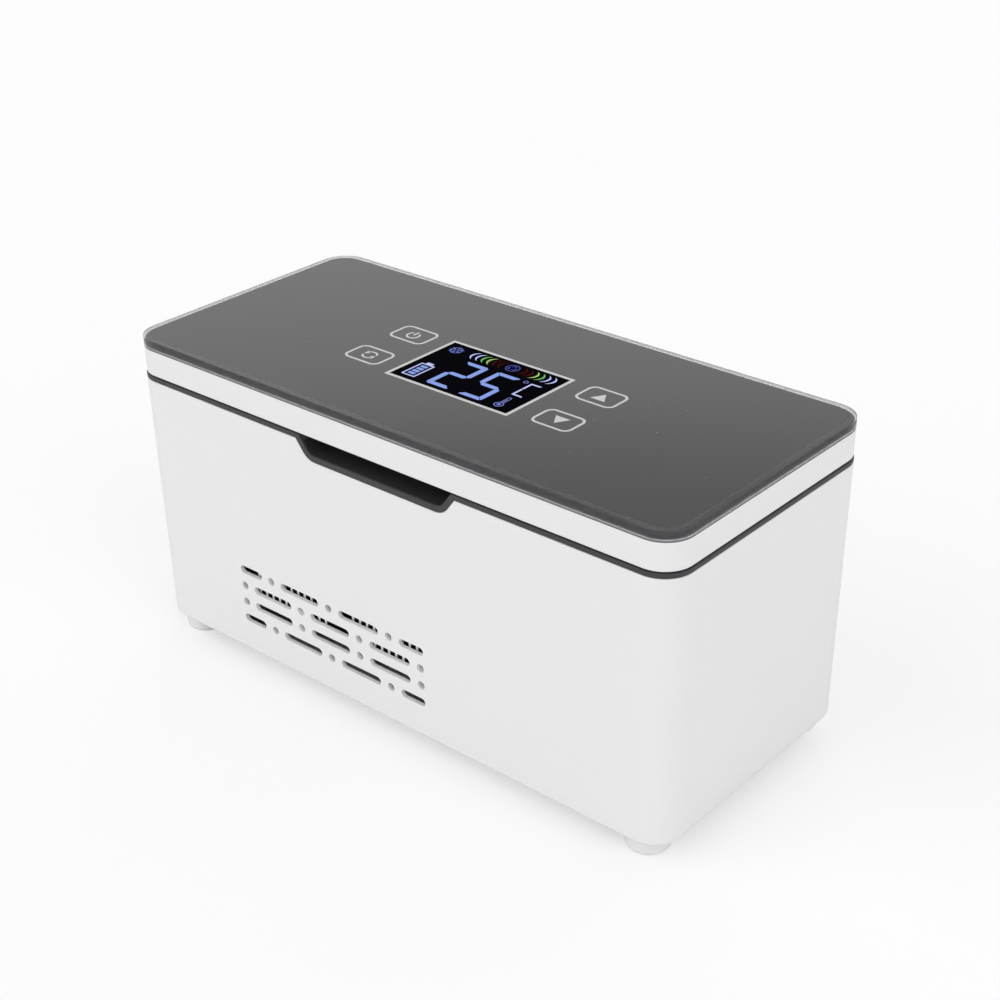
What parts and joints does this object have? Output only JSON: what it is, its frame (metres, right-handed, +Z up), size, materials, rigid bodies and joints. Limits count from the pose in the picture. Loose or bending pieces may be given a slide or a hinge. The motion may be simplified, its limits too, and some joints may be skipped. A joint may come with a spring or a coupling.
{
  "type": "insulin cooling case",
  "caption": "White box with a hinged lid over a cold chamber, a thermoelectric cooler and fan below it, vents, a finger notch and a dark touch panel with a display.",
  "frame": {"origin": "on the floor under the middle of the case", "axes": "+Z up, +X along the length to the right as the display reads, -Y towards the front with the finger notch, +Y towards the hinge"},
  "size_m": [0.226, 0.1024, 0.1148],
  "materials": {
    "white_plastic": "white, satin to gloss",
    "dark_plastic": "dark grey, fine matt",
    "panel_gloss": "dark grey, polished",
    "display_gloss": "black, polished",
    "black_plastic": "black, fine matt",
    "foot_white": "white soft rubber",
    "bare_aluminium": "bare, drawn or milled",
    "steel": "plated",
    "ceramic": "white ceramic plates",
    "foam": "closed-cell foam",
    "rubber_grey": "soft grey rubber",
    "board_green": "green solder mask",
    "cell_blue": "blue sleeve",
    "contact_grey": "conductive foam"
  },
  "bodies": {
    "case": {"housing_shell": "white_plastic", "base_cover": "white_plastic", "rim_frame": "dark_plastic", "chamber_liner": "bare_aluminium", "insulation_foam": "foam", "temperature_sensor": "steel", "cold_block": "bare_aluminium", "peltier_module": "ceramic", "heat_sink": "bare_aluminium", "fan_frame": "black_plastic", "battery_cradle": "black_plastic", "main_board": "board_green", "power_inlet": "black_plastic", "foot_front_left": "foot_white", "base_screw_front_left": "steel", "fan_screw_front_left": "steel", "foot_front_right": "foot_white", "base_screw_front_right": "steel", "fan_screw_front_right": "steel", "foot_rear_left": "foot_white", "base_screw_rear_left": "steel", "fan_screw_rear_left": "steel", "foot_rear_right": "foot_white", "base_screw_rear_right": "steel", "fan_screw_rear_right": "steel", "rim_magnet_left": "steel", "hinge_pin_left": "steel", "rim_magnet_right": "steel", "hinge_pin_right": "steel", "clamp_screw_front": "steel", "clamp_screw_rear": "steel", "battery_cell_1": "cell_blue", "battery_cell_2": "cell_blue", "battery_cell_3": "cell_blue", "battery_cell_4": "cell_blue"},
    "fan": {"fan_rotor": "black_plastic", "fan_shaft": "steel"},
    "lid": {"lid_frame": "white_plastic", "touch_panel": "panel_gloss", "display_lens": "display_gloss", "display_module": "black_plastic", "control_board": "board_green", "lid_liner": "white_plastic", "lid_insulation": "foam", "lid_gasket": "rubber_grey", "lid_magnet_left": "steel", "lid_magnet_right": "steel", "lid_screw_front_left": "steel", "lid_screw_front_right": "steel", "lid_screw_rear_left": "steel", "lid_screw_rear_right": "steel", "touch_contact_power": "contact_grey", "touch_contact_auto": "contact_grey", "touch_contact_up": "contact_grey", "touch_contact_down": "contact_grey"}
  },
  "joints": [
    {"name": "fan_spin", "type": "hinge", "parent": "case", "child": "fan", "pos_m": [-0.0222, 0, 0.0185], "axis": [0, 0, 1], "continuous": true},
    {"name": "lid_hinge", "type": "hinge", "parent": "case", "child": "lid", "pos_m": [0, 0.0486, 0.1043], "axis": [-1, 0, 0], "range_deg": [0, 95]}
  ]
}
